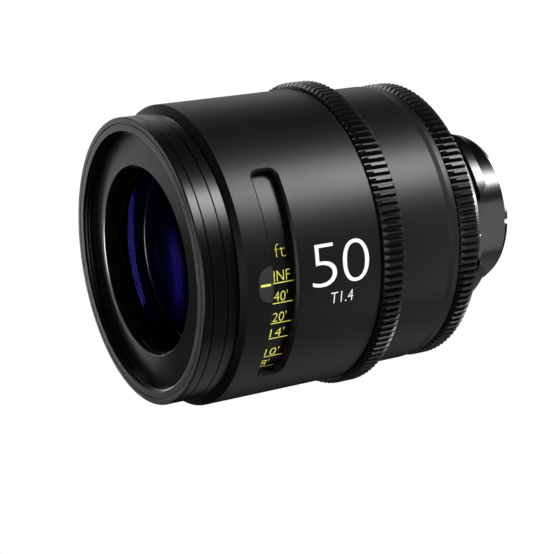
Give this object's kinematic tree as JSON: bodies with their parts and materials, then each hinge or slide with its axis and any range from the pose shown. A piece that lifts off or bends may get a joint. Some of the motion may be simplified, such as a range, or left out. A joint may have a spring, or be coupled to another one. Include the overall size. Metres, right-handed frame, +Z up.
{
  "type": "cinema prime lens",
  "caption": "Cinema prime lens with geared focus and iris rings, a distance-scale window, a leaf iris, a floating focus group and a lugged mount with a register tube.",
  "frame": {"origin": "centre of the flange face that seats against a camera, on the optical axis", "axes": "+Y along the optical axis from the subject towards the camera, so the front of the lens looks towards -Y; +X the side with the distance window and the index tab; +Z up"},
  "size_m": [0.1048, 0.1316, 0.1048],
  "materials": {
    "front_ring": "black anodised, satin",
    "barrel": "black anodised, satin",
    "gear": "black anodised, matte, cut teeth",
    "mount_base": "black anodised, satin",
    "baffle_plate": "matte black with fine turned grooves",
    "retaining_ring": "black anodised with bright broken edges",
    "cell": "flat black paint",
    "index_tab": "dark grey anodised",
    "scale_drum": "matte black",
    "inner_barrel": "dull black anodised",
    "cam": "clear anodised",
    "lens_mount": "black chrome, glossy",
    "mount_screw": "bright steel",
    "screw": "blackened steel",
    "pin": "ground steel",
    "shim": "rolled brass",
    "bronze": "bearing bronze",
    "front_glass": "polished, blue coating",
    "glass": "polished, coated",
    "rear_glass": "polished, coated",
    "iris_blade": "dry-film black"
  },
  "bodies": {
    "lens_body": {"front_ring": "front_ring", "front_baffle_plate": "baffle_plate", "front_retaining_ring": "retaining_ring", "front_cell": "cell", "element_2_retaining_ring": "cell", "element_3_spacer": "cell", "front_barrel": "barrel", "index_tab": "index_tab", "main_barrel": "inner_barrel", "housing_screws": "screw", "rear_barrel": "barrel", "iris_housing": "cell", "rear_cell": "cell", "rear_retaining_ring": "retaining_ring", "rear_spacer": "cell", "mount_base": "mount_base", "lens_mount": "lens_mount", "mount_shim": "shim", "mount_screws": "mount_screw", "rear_light_baffle": "baffle_plate", "stop_pins": "pin", "focus_thrust_washers": "bronze", "lens_element_1": "front_glass", "lens_element_2": "glass", "lens_element_3": "glass", "lens_element_7": "glass", "lens_element_8": "glass", "lens_element_9": "glass", "lens_element_10": "rear_glass"},
    "focus_ring": {"focus_gear_ring": "gear", "focus_scale_drum": "scale_drum", "focus_cam_sleeve": "cam", "focus_ring_screws": "screw"},
    "focus_carriage": {"focus_carriage": "inner_barrel", "carriage_retaining_ring": "cell", "cam_follower_rollers": "bronze", "cam_follower_screws": "pin", "lens_element_4": "glass", "lens_element_5": "glass", "lens_element_6": "glass"},
    "iris_ring": {"iris_gear_ring": "gear", "iris_cam_ring": "cam"},
    "iris_actuator": {"iris_actuator_ring": "pin"},
    "iris_lever": {"iris_lever": "pin"},
    "blade_01": {"iris_blade_01": "iris_blade"},
    "blade_02": {"iris_blade_02": "iris_blade"},
    "blade_03": {"iris_blade_03": "iris_blade"},
    "blade_04": {"iris_blade_04": "iris_blade"},
    "blade_05": {"iris_blade_05": "iris_blade"},
    "blade_06": {"iris_blade_06": "iris_blade"},
    "blade_07": {"iris_blade_07": "iris_blade"},
    "blade_08": {"iris_blade_08": "iris_blade"},
    "blade_09": {"iris_blade_09": "iris_blade"},
    "blade_10": {"iris_blade_10": "iris_blade"},
    "blade_11": {"iris_blade_11": "iris_blade"},
    "blade_12": {"iris_blade_12": "iris_blade"},
    "blade_13": {"iris_blade_13": "iris_blade"},
    "blade_14": {"iris_blade_14": "iris_blade"},
    "blade_15": {"iris_blade_15": "iris_blade"},
    "blade_16": {"iris_blade_16": "iris_blade"}
  },
  "joints": [
    {"name": "focus_turn", "type": "hinge", "parent": "lens_body", "child": "focus_ring", "pos_m": [0, -0.0523, 0], "axis": [0, -1, 0], "range_deg": [0, 270]},
    {"name": "focus_slide", "type": "slide", "parent": "lens_body", "child": "focus_carriage", "axis": [0, -1, 0], "range_m": [0, 0.009]},
    {"name": "iris_turn", "type": "hinge", "parent": "lens_body", "child": "iris_ring", "pos_m": [0, -0.0197, 0], "axis": [0, -1, 0], "range_deg": [0, 80]},
    {"name": "iris_actuator_turn", "type": "hinge", "parent": "lens_body", "child": "iris_actuator", "pos_m": [0, -0.0367, 0], "axis": [0, -1, 0], "range_deg": [0, 3.94]},
    {"name": "iris_lever_turn", "type": "hinge", "parent": "lens_body", "child": "iris_lever", "pos_m": [0.037, -0.0349, 0], "axis": [0, -1, 0], "range_deg": [-18.56, 0]},
    {"name": "blade_01_turn", "type": "hinge", "parent": "lens_body", "child": "blade_01", "pos_m": [0.0235, -0.0405, 0], "axis": [0, -1, 0], "range_deg": [0, 35.17]},
    {"name": "blade_02_turn", "type": "hinge", "parent": "lens_body", "child": "blade_02", "pos_m": [0.02171, -0.0405, 0.00899], "axis": [0, -1, 0], "range_deg": [0, 35.17]},
    {"name": "blade_03_turn", "type": "hinge", "parent": "lens_body", "child": "blade_03", "pos_m": [0.01662, -0.0405, 0.01662], "axis": [0, -1, 0], "range_deg": [0, 35.17]},
    {"name": "blade_04_turn", "type": "hinge", "parent": "lens_body", "child": "blade_04", "pos_m": [0.00899, -0.0405, 0.02171], "axis": [0, -1, 0], "range_deg": [0, 35.17]},
    {"name": "blade_05_turn", "type": "hinge", "parent": "lens_body", "child": "blade_05", "pos_m": [0, -0.0405, 0.0235], "axis": [0, -1, 0], "range_deg": [0, 35.17]},
    {"name": "blade_06_turn", "type": "hinge", "parent": "lens_body", "child": "blade_06", "pos_m": [-0.00899, -0.0405, 0.02171], "axis": [0, -1, 0], "range_deg": [0, 35.17]},
    {"name": "blade_07_turn", "type": "hinge", "parent": "lens_body", "child": "blade_07", "pos_m": [-0.01662, -0.0405, 0.01662], "axis": [0, -1, 0], "range_deg": [0, 35.17]},
    {"name": "blade_08_turn", "type": "hinge", "parent": "lens_body", "child": "blade_08", "pos_m": [-0.02171, -0.0405, 0.00899], "axis": [0, -1, 0], "range_deg": [0, 35.17]},
    {"name": "blade_09_turn", "type": "hinge", "parent": "lens_body", "child": "blade_09", "pos_m": [-0.0235, -0.0405, 0], "axis": [0, -1, 0], "range_deg": [0, 35.17]},
    {"name": "blade_10_turn", "type": "hinge", "parent": "lens_body", "child": "blade_10", "pos_m": [-0.02171, -0.0405, -0.00899], "axis": [0, -1, 0], "range_deg": [0, 35.17]},
    {"name": "blade_11_turn", "type": "hinge", "parent": "lens_body", "child": "blade_11", "pos_m": [-0.01662, -0.0405, -0.01662], "axis": [0, -1, 0], "range_deg": [0, 35.17]},
    {"name": "blade_12_turn", "type": "hinge", "parent": "lens_body", "child": "blade_12", "pos_m": [-0.00899, -0.0405, -0.02171], "axis": [0, -1, 0], "range_deg": [0, 35.17]},
    {"name": "blade_13_turn", "type": "hinge", "parent": "lens_body", "child": "blade_13", "pos_m": [0, -0.0405, -0.0235], "axis": [0, -1, 0], "range_deg": [0, 35.17]},
    {"name": "blade_14_turn", "type": "hinge", "parent": "lens_body", "child": "blade_14", "pos_m": [0.00899, -0.0405, -0.02171], "axis": [0, -1, 0], "range_deg": [0, 35.17]},
    {"name": "blade_15_turn", "type": "hinge", "parent": "lens_body", "child": "blade_15", "pos_m": [0.01662, -0.0405, -0.01662], "axis": [0, -1, 0], "range_deg": [0, 35.17]},
    {"name": "blade_16_turn", "type": "hinge", "parent": "lens_body", "child": "blade_16", "pos_m": [0.02171, -0.0405, -0.00899], "axis": [0, -1, 0], "range_deg": [0, 35.17]}
  ],
  "couplings": [
    {"joint": "focus_slide", "follows": "focus_turn", "m_per_rad": 0.0019099},
    {"joint": "iris_actuator_turn", "follows": "iris_turn", "ratio": 0.049234},
    {"joint": "iris_lever_turn", "follows": "iris_turn", "ratio": -0.23199},
    {"joint": "blade_01_turn", "follows": "iris_turn", "ratio": 0.43964},
    {"joint": "blade_02_turn", "follows": "iris_turn", "ratio": 0.43964},
    {"joint": "blade_03_turn", "follows": "iris_turn", "ratio": 0.43964},
    {"joint": "blade_04_turn", "follows": "iris_turn", "ratio": 0.43964},
    {"joint": "blade_05_turn", "follows": "iris_turn", "ratio": 0.43964},
    {"joint": "blade_06_turn", "follows": "iris_turn", "ratio": 0.43964},
    {"joint": "blade_07_turn", "follows": "iris_turn", "ratio": 0.43964},
    {"joint": "blade_08_turn", "follows": "iris_turn", "ratio": 0.43964},
    {"joint": "blade_09_turn", "follows": "iris_turn", "ratio": 0.43964},
    {"joint": "blade_10_turn", "follows": "iris_turn", "ratio": 0.43964},
    {"joint": "blade_11_turn", "follows": "iris_turn", "ratio": 0.43964},
    {"joint": "blade_12_turn", "follows": "iris_turn", "ratio": 0.43964},
    {"joint": "blade_13_turn", "follows": "iris_turn", "ratio": 0.43964},
    {"joint": "blade_14_turn", "follows": "iris_turn", "ratio": 0.43964},
    {"joint": "blade_15_turn", "follows": "iris_turn", "ratio": 0.43964},
    {"joint": "blade_16_turn", "follows": "iris_turn", "ratio": 0.43964}
  ]
}
